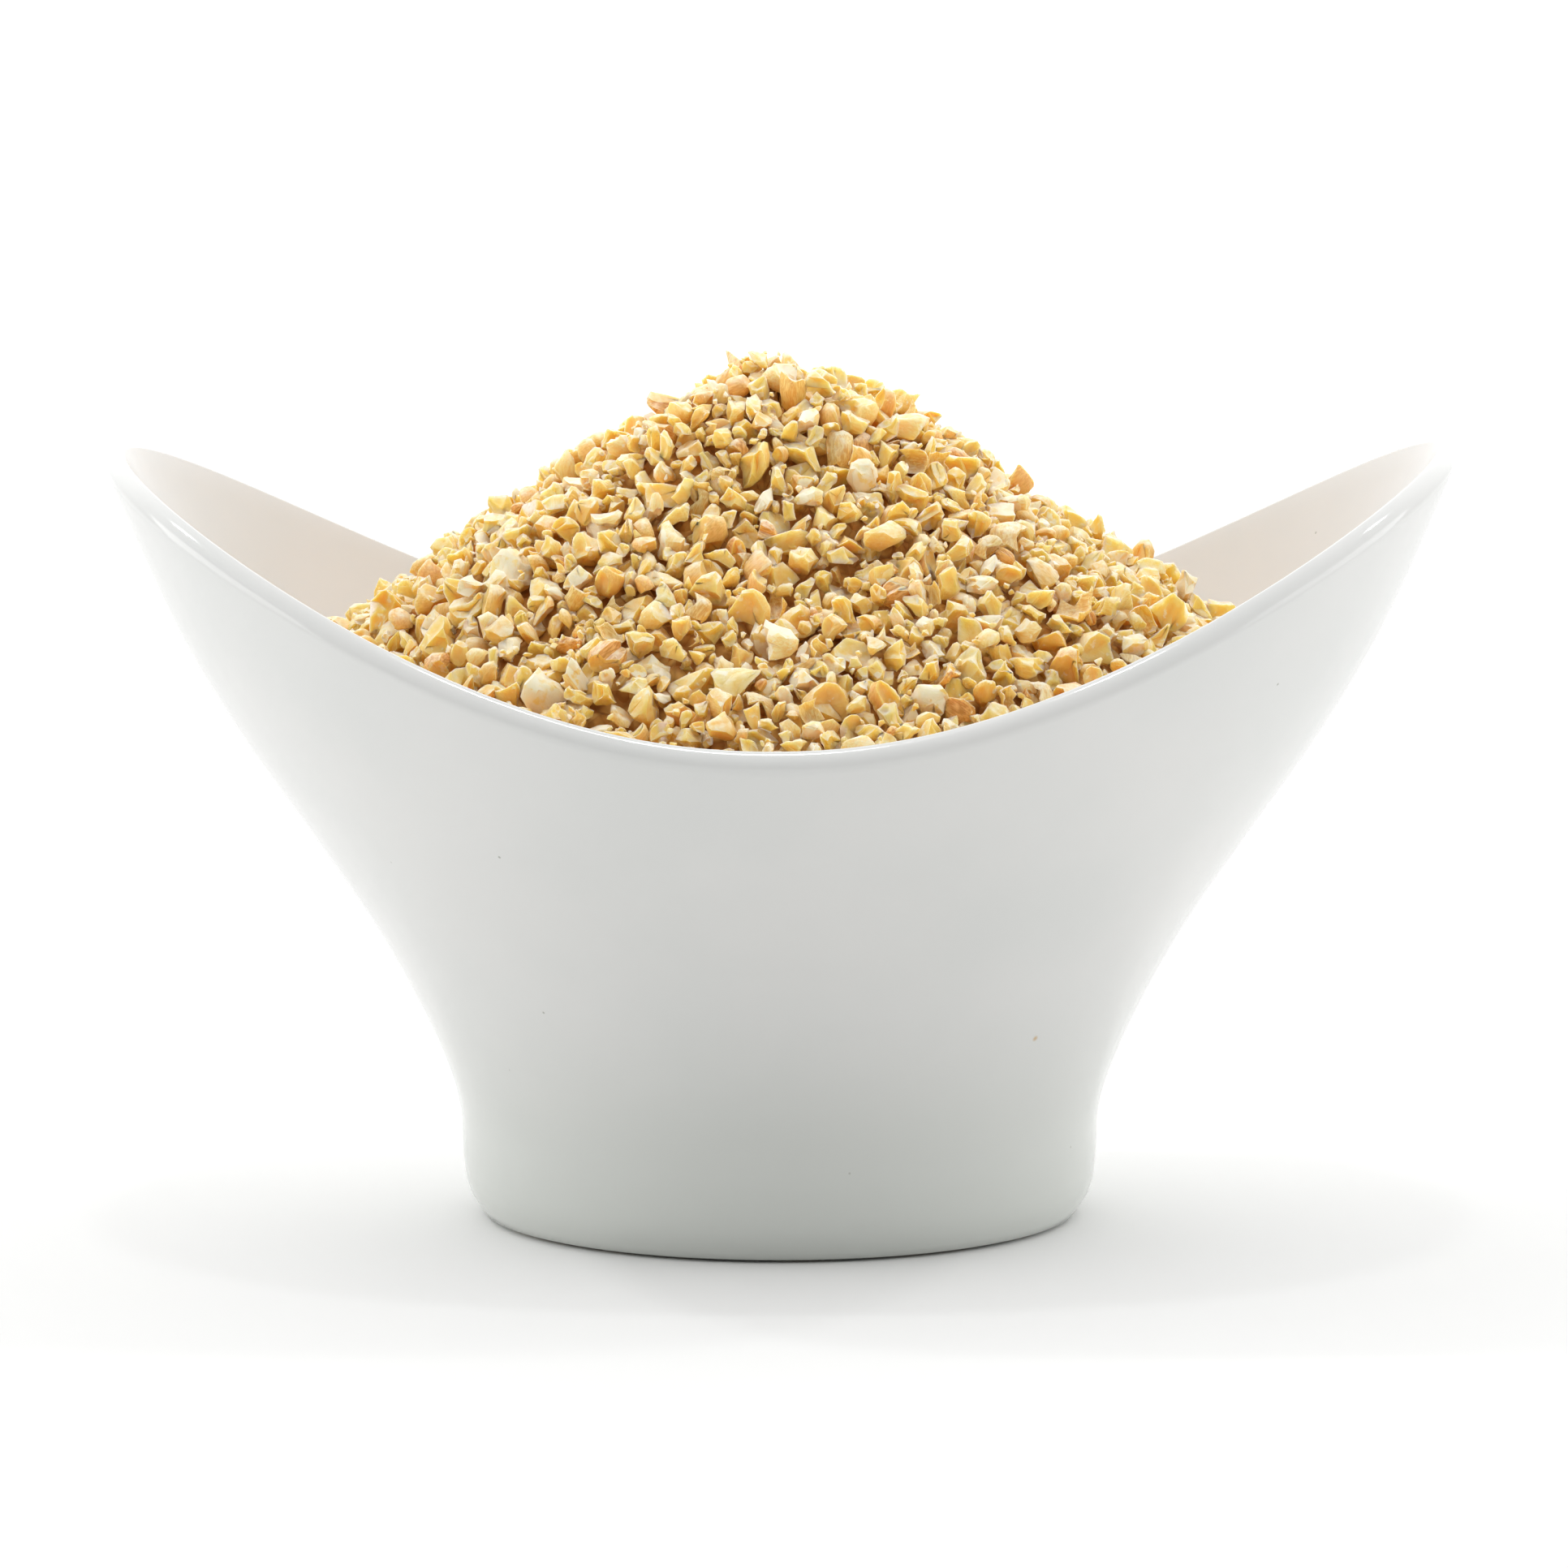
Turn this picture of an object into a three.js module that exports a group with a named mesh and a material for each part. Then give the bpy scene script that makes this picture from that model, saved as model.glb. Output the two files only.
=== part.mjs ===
// A white porcelain bowl heaped with coarse dry bulgur.
//
// The bowl is a body of revolution on a round foot. Its rim rises in a wave to two ears, so the wall is low
// at the front and back and high at the two ends. The bulgur fills it and stands up as a rounded cone.
//
// Units are millimetres. +Z is up, X runs from ear to ear, -Y is the front, and the origin is the centre of
// the foot, on the surface that the bowl stands on.

import * as THREE from "three";

// ---------------------------------------------------------------------------------------------------------
// Driving dimensions of the bowl
// ---------------------------------------------------------------------------------------------------------

const WALL = 4; // thickness of the wall beside the floor
const LIP = 2.6; // thickness of the wall at the rim
const LIP_ROUNDING = 1.5; // height of the round outer edge of the lip
const RIM_LOW = 59.16; // height of the outer wall's end at the front and back
const RIM_RISE = { left: 29.41, right: 30.17 }; // how much higher that end is at each ear
const RIM_SHARPNESS = 2.15; // 2 is a plain wave, and more draws the ears in

const FOOT_CONTACT = 33.4; // outer radius of the ring that the bowl stands on
const FOOT_RING = 4.4; // width of that ring
const FOOT_RECESS = 1.6; // depth of the hollow inside the ring
const FLOOR = 7; // height of the floor inside
const FLOOR_CORNER = 11; // radius of the round corner between floor and wall

// The outer wall as radius and height, from the foot's edge to the tip of an ear: a foot that stands almost
// straight, a soft corner, and a flare that is steepest halfway up.
const WALL_OUTLINE = [
  [35.2, 0.5],
  [37.1, 3.6],
  [37.7, 8],
  [38.2, 14],
  [41.2, 22.3],
  [47.34, 34],
  [55.3, 46],
  [63.04, 57.1],
  [69.32, 67.4],
  [74.05, 77.2],
  [80.1, 91.5],
].map(([radius, height]) => new THREE.Vector2(radius, height));

const BOWL_SEGMENTS = 56; // sections round the bowl
const WALL_STEPS = 9; // steps up the outer wall
const WALL_STEP_GROWTH = 1.6; // how the steps grow from the foot up, where 1 is even
const LIP_STEPS = 3; // steps over the lip
const INSIDE_STEPS = 7; // steps down the inner wall
const CORNER_STEPS = 2; // steps round the corner of the floor

// ---------------------------------------------------------------------------------------------------------
// Driving dimensions of the bulgur
// ---------------------------------------------------------------------------------------------------------

const CLEARANCE = 0.3; // gap between bulgur and porcelain
const HEAP_TOP = 98.8; // height of the cone, before the uneven spots
const HEAP_SLOPE = 0.83; // fall per millimetre towards the front and back
const HEAP_STRETCH = 0.885; // the heap falls that much more gently towards the ears
const HEAP_ROUNDING = 12; // how far the point of the cone is rounded off

// Uneven spots where the grains have piled up or slid: [x, y, height, reach].
const HEAP_LUMPS = [
  [0, 0, 1.3, 7],
  [43, -2, 1.8, 8],
  [-28, -4, 1.0, 8],
  [-48, -8, -1.6, 9],
  [14, 4, 0.9, 6],
  [-2, -15, 1.0, 6],
  [9, -22, -1.5, 6],
  [0, -31, -3.2, 9],
  [-22, -27, 1.2, 7],
  [31, -28, 1.0, 8],
  [6, 30, 1.2, 12],
  [-30, 28, -1.0, 10],
];

const GRAIN_RINGS = 18; // rings of grains from the top of the heap to the wall
const GRAIN_SHIFT = 0.32; // how far a grain strays from its even place, as a share of the spacing
const GRAIN_BLUNTNESS = 0.62; // size of a grain's top against its foot
const GRAIN_TILT = 0.45; // steepest slope of a top against the heap
const SQUARE_SHARE = 0.3; // share of the grains whose top has four corners, where the rest have three
const BUMP_HEIGHT = [0.1, 1.9]; // lowest and highest grain above the heap's own surface
const CREVICE_DEPTH = 0.9; // crevices between the grains, below that surface

// ---------------------------------------------------------------------------------------------------------
// Small helpers
// ---------------------------------------------------------------------------------------------------------

// A repeatable source of random numbers from 0 to 1.
function randomFrom(seed) {
  let state = seed;
  return () => {
    state = (state + 0x6d2b79f5) | 0;
    let t = Math.imul(state ^ (state >>> 15), 1 | state);
    t = (t + Math.imul(t ^ (t >>> 7), 61 | t)) ^ t;
    return ((t ^ (t >>> 14)) >>> 0) / 2 ** 32;
  };
}

const between = ([low, high], share) => low + (high - low) * share;

// The value of x, between low and high, where the rising function f crosses zero.
function crossing(f, low, high) {
  for (let i = 0; i < 40; i++) {
    const middle = (low + high) / 2;
    if (f(middle) > 0) high = middle;
    else low = middle;
  }
  return (low + high) / 2;
}

function geometryFrom(vertices, faces) {
  const geometry = new THREE.BufferGeometry();
  geometry.setAttribute("position", new THREE.Float32BufferAttribute(vertices.flat(), 3));
  geometry.setIndex(faces.flat());
  geometry.computeVertexNormals();
  return geometry;
}

// ---------------------------------------------------------------------------------------------------------
// The bowl
// ---------------------------------------------------------------------------------------------------------

const wallCurve = new THREE.SplineCurve(WALL_OUTLINE);
const WALL_HEIGHT = WALL_OUTLINE.at(-1).y;

// The share along the wall's curve that lies at a height.
const shareAtHeight = (height) => crossing((t) => wallCurve.getPoint(t).y - height, 0, 1);

function rimHeight(angle) {
  const rise = Math.cos(angle) < 0 ? RIM_RISE.left : RIM_RISE.right;
  return RIM_LOW + rise * Math.abs(Math.cos(angle)) ** RIM_SHARPNESS;
}

// The wall thins out from the floor's corner up to the height of the low rim.
function thickness(height) {
  const cornerTop = FLOOR + FLOOR_CORNER;
  const share = (height - cornerTop) / (RIM_LOW - cornerTop);
  return between([WALL, LIP], THREE.MathUtils.clamp(share, 0, 1));
}

// A point at a depth behind the outer face, which it has at this height.
function wallPoint(height, depth) {
  const share = shareAtHeight(height);
  const along = wallCurve.getTangent(share);
  const point = wallCurve.getPoint(share);
  return new THREE.Vector2(point.x - along.y * depth, point.y + along.x * depth);
}

// The half section of the bowl at an angle, from the axis underneath to the axis inside.
function bowlSection(angle) {
  const top = rimHeight(angle);
  const foot = FOOT_CONTACT - FOOT_RING;
  const points = [
    new THREE.Vector2(0, FOOT_RECESS),
    new THREE.Vector2(foot - FOOT_RECESS, FOOT_RECESS),
    new THREE.Vector2(foot, 0),
    new THREE.Vector2(FOOT_CONTACT, 0),
  ];

  const bottom = WALL_OUTLINE[0].y;
  for (let i = 0; i <= WALL_STEPS; i++) {
    points.push(wallPoint(between([bottom, top], (i / WALL_STEPS) ** WALL_STEP_GROWTH), 0));
  }

  // The lip is a quarter of an ellipse: its outer edge is round, and its inner edge is tight.
  for (let i = 1; i < LIP_STEPS; i++) {
    const turn = (Math.PI / 2) * (i / LIP_STEPS);
    points.push(wallPoint(top + LIP_ROUNDING * Math.sin(turn), LIP * (1 - Math.cos(turn))));
  }

  for (let i = 0; i <= INSIDE_STEPS; i++) {
    const height = between([top + LIP_ROUNDING, FLOOR + FLOOR_CORNER], i / INSIDE_STEPS);
    points.push(wallPoint(height, thickness(height)));
  }
  return points.concat(floorCorner(points.at(-1), CORNER_STEPS), new THREE.Vector2(0, FLOOR));
}

// The round corner from the foot of the inner wall down to the flat of the floor.
function floorCorner(wallEnd, steps) {
  const points = [];
  for (let i = 1; i <= steps; i++) {
    const turn = (Math.PI / 2) * (i / steps);
    points.push(
      new THREE.Vector2(
        wallEnd.x - FLOOR_CORNER * (1 - Math.cos(turn)),
        wallEnd.y - (wallEnd.y - FLOOR) * Math.sin(turn),
      ),
    );
  }
  return points;
}

// Joins the half sections at even angles into one closed body. Their two ends lie on the axis.
function spin(sectionAt, segments) {
  const sections = [];
  for (let s = 0; s < segments; s++) {
    const angle = (2 * Math.PI * s) / segments;
    sections.push(
      sectionAt(angle).map((p) => [p.x * Math.cos(angle), p.x * Math.sin(angle), p.y]),
    );
  }
  const rows = sections[0].length;
  const vertices = [sections[0][0], sections[0][rows - 1], ...sections.flatMap((s) => s.slice(1, -1))];
  const at = (s, row) => {
    if (row === 0) return 0;
    if (row === rows - 1) return 1;
    return 2 + (s % segments) * (rows - 2) + row - 1;
  };
  const faces = [];
  for (let s = 0; s < segments; s++) {
    for (let row = 0; row < rows - 1; row++) {
      const corners = [at(s, row), at(s + 1, row), at(s + 1, row + 1), at(s, row + 1)];
      if (corners[0] !== corners[1]) faces.push([corners[0], corners[1], corners[2]]);
      if (corners[2] !== corners[3]) faces.push([corners[0], corners[2], corners[3]]);
    }
  }
  return geometryFrom(vertices, faces);
}

// ---------------------------------------------------------------------------------------------------------
// The bulgur
// ---------------------------------------------------------------------------------------------------------

function heapHeight(x, y) {
  const away = Math.hypot(x * HEAP_STRETCH, y, HEAP_ROUNDING) - HEAP_ROUNDING;
  let height = HEAP_TOP - HEAP_SLOPE * away;
  for (const [lumpX, lumpY, rise, reach] of HEAP_LUMPS) {
    height += rise * Math.exp(-((x - lumpX) ** 2 + (y - lumpY) ** 2) / reach ** 2);
  }
  return height;
}

// A point of the heap's side, which keeps clear of the inner wall.
const sidePoint = (height) => wallPoint(height, thickness(height) + CLEARANCE);

// Where the heap meets the inner wall, as radius and height.
function heapEdge(angle) {
  const above = (height) => {
    const side = sidePoint(height);
    return side.y - heapHeight(side.x * Math.cos(angle), side.x * Math.sin(angle));
  };
  return sidePoint(crossing(above, FLOOR + FLOOR_CORNER, WALL_HEIGHT));
}

// Triangles between two rings of vertices round the axis, the outer one given first. Each ring lists its
// vertices' numbers, at even angles.
function stitch(outer, inner) {
  const faces = [];
  let o = 0;
  let i = 0;
  while (o < outer.length || i < inner.length) {
    const a = outer[o % outer.length];
    const b = inner[i % inner.length];
    const outerIsNext = i >= inner.length || (o + 1) / outer.length <= (i + 1) / inner.length;
    if (o < outer.length && outerIsNext) {
      faces.push([a, outer[++o % outer.length], b]);
    } else {
      faces.push([a, inner[++i % inner.length], b]);
    }
  }
  return faces.filter(([a, b, c]) => a !== b && b !== c && a !== c);
}

// One grain of the heap: a blunt chip whose small tilted top stands on the ring of crevices round it. Each
// corner of the top leans towards its own share of the crevices.
function grainFaces(vertices, centre, crevices, random) {
  const corners = random() < SQUARE_SHARE ? 4 : 3;
  const [cx, cy] = centre;
  const lift = between(BUMP_HEIGHT, random());
  const tilt = [random() - 0.5, random() - 0.5].map((t) => t * 2 * GRAIN_TILT);
  const turn = Math.floor(random() * crevices.length);
  const ring = [...crevices.slice(turn), ...crevices.slice(0, turn)];
  const groups = [];
  for (let i = 0; i < corners; i++) {
    const from = Math.floor((i * ring.length) / corners);
    const to = Math.floor(((i + 1) * ring.length) / corners);
    groups.push(ring.slice(from, to));
  }

  const top = groups.map((group) => {
    const mean = (axis) => group.reduce((sum, v) => sum + vertices[v][axis], 0) / group.length;
    const dx = (mean(0) - cx) * GRAIN_BLUNTNESS;
    const dy = (mean(1) - cy) * GRAIN_BLUNTNESS;
    const z = heapHeight(cx + dx, cy + dy) + lift + dx * tilt[0] + dy * tilt[1];
    return vertices.push([cx + dx, cy + dy, z]) - 1;
  });

  const faces = [];
  groups.forEach((group, i) => {
    const next = (i + 1) % corners;
    for (let j = 1; j < group.length; j++) faces.push([top[i], group[j - 1], group[j]]);
    faces.push([top[i], group.at(-1), groups[next][0]], [top[i], groups[next][0], top[next]]);
  });
  for (let i = 1; i < corners - 1; i++) faces.push([top[0], top[i], top[i + 1]]);
  return faces;
}

// The heap with its grains. Their places are a net of rings: ring 1 has 6, ring 2 has 12 and so on, and the
// last ring is the line where the heap meets the wall.
function bulgur() {
  const random = randomFrom(7);
  const vertices = [[0, 0, heapHeight(0, 0)]];
  const rings = [[0]];
  for (let ring = 1; ring <= GRAIN_RINGS; ring++) {
    const count = 6 * ring;
    const onWall = ring === GRAIN_RINGS;
    const stray = () => (onWall ? 0 : (random() * 2 - 1) * GRAIN_SHIFT);
    const numbers = [];
    for (let i = 0; i < count; i++) {
      const even = (2 * Math.PI * i) / count;
      const edge = heapEdge(even);
      const angle = even + (stray() * 2 * Math.PI) / count;
      const radius = (edge.x * (ring + stray())) / GRAIN_RINGS;
      const x = radius * Math.cos(angle);
      const y = radius * Math.sin(angle);
      numbers.push(vertices.push([x, y, onWall ? edge.y : heapHeight(x, y)]) - 1);
    }
    rings.push(numbers);
  }

  // A crevice lies in the middle of each triangle of the net. Each grain collects the ones round it.
  const net = rings.slice(1).flatMap((ring, i) => stitch(ring, rings[i]));
  const leftOf = new Map();
  for (const triangle of net) {
    const mean = (axis) => triangle.reduce((sum, v) => sum + vertices[v][axis], 0) / 3;
    const [x, y] = [mean(0), mean(1)];
    const crevice = vertices.push([x, y, heapHeight(x, y) - CREVICE_DEPTH]) - 1;
    triangle.forEach((v, i) => {
      const neighbours = leftOf.get(v) ?? new Map();
      leftOf.set(v, neighbours.set(triangle[(i + 1) % 3], { crevice, next: triangle[(i + 2) % 3] }));
    });
  }

  const faces = [];
  for (const [grain, neighbours] of leftOf) {
    const onWall = rings.at(-1).includes(grain);
    for (const [neighbour, { crevice }] of neighbours) {
      const right = leftOf.get(neighbour).get(grain);
      if (!right) faces.push([grain, neighbour, crevice]);
      else if (onWall) faces.push([grain, right.crevice, crevice]);
    }
    if (onWall) continue;
    const around = [];
    let neighbour = neighbours.keys().next().value;
    while (around.length < neighbours.size) {
      const { crevice, next } = neighbours.get(neighbour);
      around.push(crevice);
      neighbour = next;
    }
    faces.push(...grainFaces(vertices, vertices[grain], around, random));
  }
  return geometryFrom(vertices, [...faces, ...undersideFaces(vertices, rings.at(-1))]);
}

// The closed underside, which follows the bowl's inside in rings that get coarser towards the middle.
function undersideFaces(vertices, edgeRing) {
  const cornerTop = FLOOR + FLOOR_CORNER;
  const corner = floorCorner(sidePoint(cornerTop), 2);
  const wallRing = (share) => sidePoint(between([RIM_LOW - 4, cornerTop], share));
  const outline = [
    [36, wallRing(0)],
    [36, wallRing(0.3)],
    [36, wallRing(0.6)],
    [36, wallRing(0.8)],
    [36, wallRing(1)],
    [24, corner[0]],
    [12, new THREE.Vector2(corner[1].x, FLOOR + CLEARANCE)],
    [1, new THREE.Vector2(0, FLOOR + CLEARANCE)],
  ];
  const faces = [];
  let above = edgeRing;
  for (const [count, point] of outline) {
    const numbers = [];
    for (let i = 0; i < count; i++) {
      const angle = (2 * Math.PI * i) / count;
      numbers.push(vertices.push([point.x * Math.cos(angle), point.x * Math.sin(angle), point.y]) - 1);
    }
    faces.push(...stitch(above, numbers).map(([a, b, c]) => [a, c, b]));
    above = numbers;
  }
  return faces;
}

// ---------------------------------------------------------------------------------------------------------
// Assembly
// ---------------------------------------------------------------------------------------------------------

const porcelain = new THREE.MeshStandardMaterial({ color: 0xeceeec, roughness: 0.12, metalness: 0 });
const crackedWheat = new THREE.MeshStandardMaterial({ color: 0xd9b46c, roughness: 0.55, metalness: 0 });

function named(name, geometry, material) {
  const mesh = new THREE.Mesh(geometry, material);
  mesh.name = name;
  return mesh;
}

const bowlOfBulgur = new THREE.Group();
bowlOfBulgur.add(named("bowl", spin(bowlSection, BOWL_SEGMENTS), porcelain));
bowlOfBulgur.add(named("bulgur", bulgur(), crackedWheat));

export default bowlOfBulgur;
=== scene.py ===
import math
from itertools import islice

import bmesh
import bpy
import numpy as np
from mathutils import Matrix, Vector, noise


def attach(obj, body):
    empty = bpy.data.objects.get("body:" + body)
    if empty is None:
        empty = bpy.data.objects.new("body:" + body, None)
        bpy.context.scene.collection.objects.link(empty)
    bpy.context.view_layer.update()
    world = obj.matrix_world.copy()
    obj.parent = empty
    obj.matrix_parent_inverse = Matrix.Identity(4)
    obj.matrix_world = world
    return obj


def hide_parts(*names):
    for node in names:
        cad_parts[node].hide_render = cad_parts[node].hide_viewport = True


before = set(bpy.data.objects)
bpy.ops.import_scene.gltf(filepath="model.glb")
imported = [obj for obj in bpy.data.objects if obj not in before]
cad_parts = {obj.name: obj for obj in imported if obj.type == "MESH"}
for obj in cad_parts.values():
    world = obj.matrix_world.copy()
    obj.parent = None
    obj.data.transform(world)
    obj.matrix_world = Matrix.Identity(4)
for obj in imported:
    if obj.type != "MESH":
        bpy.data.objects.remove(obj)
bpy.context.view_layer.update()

# ---------------------------------------------------------------------------------------------------------
# The bowl
#
# One piece of white porcelain, glazed all over but for the ring that it stands on. The wall flares out of a
# round foot, and the rim is cut in a wave that rises to two ears. A few specks of iron show in the glaze.
# ---------------------------------------------------------------------------------------------------------

MM = 0.001  # sizes are written in millimetres, and the scene is in metres

WALL = 4.0  # thickness of the wall beside the floor
LIP = 2.6  # thickness of the wall at the rim
LIP_ROUNDING = 1.5  # height of the round outer edge of the lip
LIP_INNER_ROUNDING = 0.4  # the inner edge is tighter
RIM_LOW = 59.16  # height of the outer wall's end at the front and back
RIM_RISE = {"left": 29.41, "right": 30.17}  # how much higher that end is at each ear
RIM_SHARPNESS = 2.15  # 2 is a plain wave, and more draws the ears in

FOOT_CONTACT = 33.4  # outer radius of the ring that the bowl stands on
FOOT_RING = 4.4  # width of that ring
FOOT_RECESS = 1.6  # depth of the hollow inside the ring
FLOOR = 7.0  # height of the floor inside
FLOOR_CORNER = 11.0  # radius of the round corner between floor and wall

# The outer wall as radius and height, from the foot's edge to the tip of an ear.
WALL_OUTLINE = np.array([
    (35.2, 0.5), (37.1, 3.6), (37.7, 8), (38.2, 14), (41.2, 22.3), (47.34, 34),
    (55.3, 46), (63.04, 57.1), (69.32, 67.4), (74.05, 77.2), (80.1, 91.5),
])

BOWL_SEGMENTS = 288
WALL_STEPS = 44
LIP_STEPS = 10
INSIDE_STEPS = 26
CORNER_STEPS = 8

FOOT_SHADE_HEIGHT = 34.0  # below this height the glaze is painted darker and greyer towards the foot: painted shade

# The specks that the photo shows, as degrees round the bowl from the right ear, and height.
BROWN_SPECK = {"turn": -46.0, "height": 25.4, "radius": 0.5}


def smooth_curve(points, steps):
    """Points along a Catmull-Rom curve through the given ones."""
    last = len(points) - 1
    share = np.linspace(0, last, steps)
    i = np.minimum(share.astype(int), last - 1)
    w = (share - i)[:, None]
    before, here = points[np.maximum(i - 1, 0)], points[i]
    after, beyond = points[i + 1], points[np.minimum(i + 2, last)]
    pull_0, pull_1 = (after - before) / 2, (beyond - here) / 2
    return (
        (2 * here - 2 * after + pull_0 + pull_1) * w**3
        + (3 * after - 3 * here - 2 * pull_0 - pull_1) * w**2
        + pull_0 * w
        + here
    )


wall_curve = smooth_curve(WALL_OUTLINE, 2400)
wall_lean = np.gradient(wall_curve, axis=0)
wall_lean /= np.linalg.norm(wall_lean, axis=1)[:, None]


def thickness(height):
    """The wall thins out from the floor's corner up to the height of the low rim."""
    return np.interp(height, (FLOOR + FLOOR_CORNER, RIM_LOW), (WALL, LIP))


def wall_point(height, depth):
    """Points at these depths behind the outer face, which it has at these heights."""
    radius, rise, along = (
        np.interp(height, wall_curve[:, 1], column)
        for column in (wall_curve[:, 0], wall_lean[:, 1], wall_lean[:, 0])
    )
    return np.stack([radius - rise * depth, height + along * depth], -1)


def rim_height(angle):
    rise = RIM_RISE["left"] if math.cos(angle) < 0 else RIM_RISE["right"]
    return RIM_LOW + rise * abs(math.cos(angle)) ** RIM_SHARPNESS


def floor_corner(wall_end, steps):
    """The round corner from the foot of the inner wall down to the flat of the floor."""
    turn = np.linspace(0, math.pi / 2, steps + 1)[1:]
    return np.stack([
        wall_end[0] - FLOOR_CORNER * (1 - np.cos(turn)),
        wall_end[1] - (wall_end[1] - FLOOR) * np.sin(turn),
    ], -1)


def rounded(corner_points, radius, steps=5):
    """A path whose inner corners are rounded off."""
    path = [corner_points[0]]
    for before, corner, after in zip(corner_points, corner_points[1:], corner_points[2:]):
        before, corner, after = (np.array(p, float) for p in (before, corner, after))
        start = corner + (before - corner) * min(0.5, radius / np.linalg.norm(before - corner))
        end = corner + (after - corner) * min(0.5, radius / np.linalg.norm(after - corner))
        for w in np.linspace(0, 1, steps):
            path.append((1 - w) ** 2 * start + 2 * w * (1 - w) * corner + w**2 * end)
    return np.array([*path, corner_points[-1]])


def bowl_section(angle):
    """The half section of the bowl at an angle, from the axis underneath to the axis inside."""
    top = rim_height(angle)
    ring = FOOT_CONTACT - FOOT_RING
    bottom = WALL_OUTLINE[0][1]
    underside = rounded([
        (0, FOOT_RECESS),
        (ring - FOOT_RECESS, FOOT_RECESS),
        (ring, 0),
        (FOOT_CONTACT, 0),
        tuple(WALL_OUTLINE[0]),
    ], 0.7)

    heights = bottom + (top - bottom) * np.linspace(0, 1, WALL_STEPS + 1) ** 1.15
    outside = wall_point(heights[1:], 0.0)

    # The outer edge of the lip is a quarter of an ellipse, up to where the inner edge starts to turn down.
    turn = np.linspace(0, math.pi / 2, LIP_STEPS + 1)[1:]
    crown = top + LIP_ROUNDING
    outer_edge = wall_point(top + LIP_ROUNDING * np.sin(turn), (LIP - LIP_INNER_ROUNDING) * (1 - np.cos(turn)))
    turn = turn[1::2]
    inner_edge = wall_point(
        crown - LIP_INNER_ROUNDING * (1 - np.cos(turn)), LIP - LIP_INNER_ROUNDING * (1 - np.sin(turn))
    )

    heights = np.linspace(crown - LIP_INNER_ROUNDING, FLOOR + FLOOR_CORNER, INSIDE_STEPS + 1)[1:]
    inside = wall_point(heights, thickness(heights))
    corner = floor_corner(inside[-1], CORNER_STEPS)
    return np.concatenate([underside, outside, outer_edge, inner_edge, inside, corner, [(0, FLOOR)]])


def spun(section_at, segments):
    """Vertices and faces of the half sections at even angles, joined into one closed body."""
    angles = np.linspace(0, 2 * math.pi, segments, endpoint=False)
    rings = np.array([section_at(angle) for angle in angles])
    rows = rings.shape[1]
    spin = np.stack([np.cos(angles), np.sin(angles)], -1)[:, None, :]
    points = np.concatenate([rings[:, 1:-1, :1] * spin, rings[:, 1:-1, 1:]], -1).reshape(-1, 3)
    poles = np.array([(0, 0, rings[0, 0, 1]), (0, 0, rings[0, -1, 1])])
    at = np.arange(segments * (rows - 2)).reshape(segments, rows - 2)
    following = np.roll(at, -1, axis=0)
    quads = np.stack([at[:, :-1], following[:, :-1], following[:, 1:], at[:, 1:]], -1).reshape(-1, 4)
    under, inside = len(points), len(points) + 1
    faces = [tuple(quad) for quad in quads.tolist()]
    faces += [(under, b, a) for a, b in zip(at[:, 0].tolist(), following[:, 0].tolist())]
    faces += [(inside, a, b) for a, b in zip(at[:, -1].tolist(), following[:, -1].tolist())]
    return np.concatenate([points, poles]), faces


def piece(name, points, faces):
    """A new object of this mesh, given in millimetres."""
    mesh = bpy.data.meshes.new(name)
    mesh.from_pydata(points * MM, [], faces)
    made = bpy.data.objects.new(name, mesh)
    bpy.context.scene.collection.objects.link(made)
    return made


def finish(name):
    """A new material, as its node tree and its main shader."""
    material = bpy.data.materials.new(name)
    material.use_nodes = True
    return material, material.node_tree, material.node_tree.nodes["Principled BSDF"]


def node(tree, kind, inputs=None, **settings):
    """Adds a shader node. An input that is another node's socket is linked, and any other is set."""
    made = tree.nodes.new("ShaderNode" + kind)
    for key, value in settings.items():
        setattr(made, key, value)
    for key, value in (inputs or {}).items():
        if isinstance(value, bpy.types.NodeSocket):
            tree.links.new(value, made.inputs[key])
        else:
            made.inputs[key].default_value = value
    return made


def colour(red, green, blue):
    """A colour as it looks on a screen, 0 to 255, turned into the shader's own scale."""
    shares = [v / 255 for v in (red, green, blue)]
    return [v / 12.92 if v < 0.04045 else ((v + 0.055) / 1.055) ** 2.4 for v in shares] + [1.0]


def mixed(tree, share, first, second):
    """The first colour where share is 0, and the second where it is 1."""
    made = node(tree, "Mix", {0: share, 6: first, 7: second}, data_type="RGBA")
    return made.outputs[2]


def stepped(tree, value, low, high, to_low=0.0, to_high=1.0):
    """A value as a share of the way from low to high, or of the given range, and held there."""
    inputs = {"Value": value, "From Min": low, "From Max": high, "To Min": to_low, "To Max": to_high}
    return node(tree, "MapRange", inputs, interpolation_type="SMOOTHSTEP").outputs["Result"]


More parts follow.
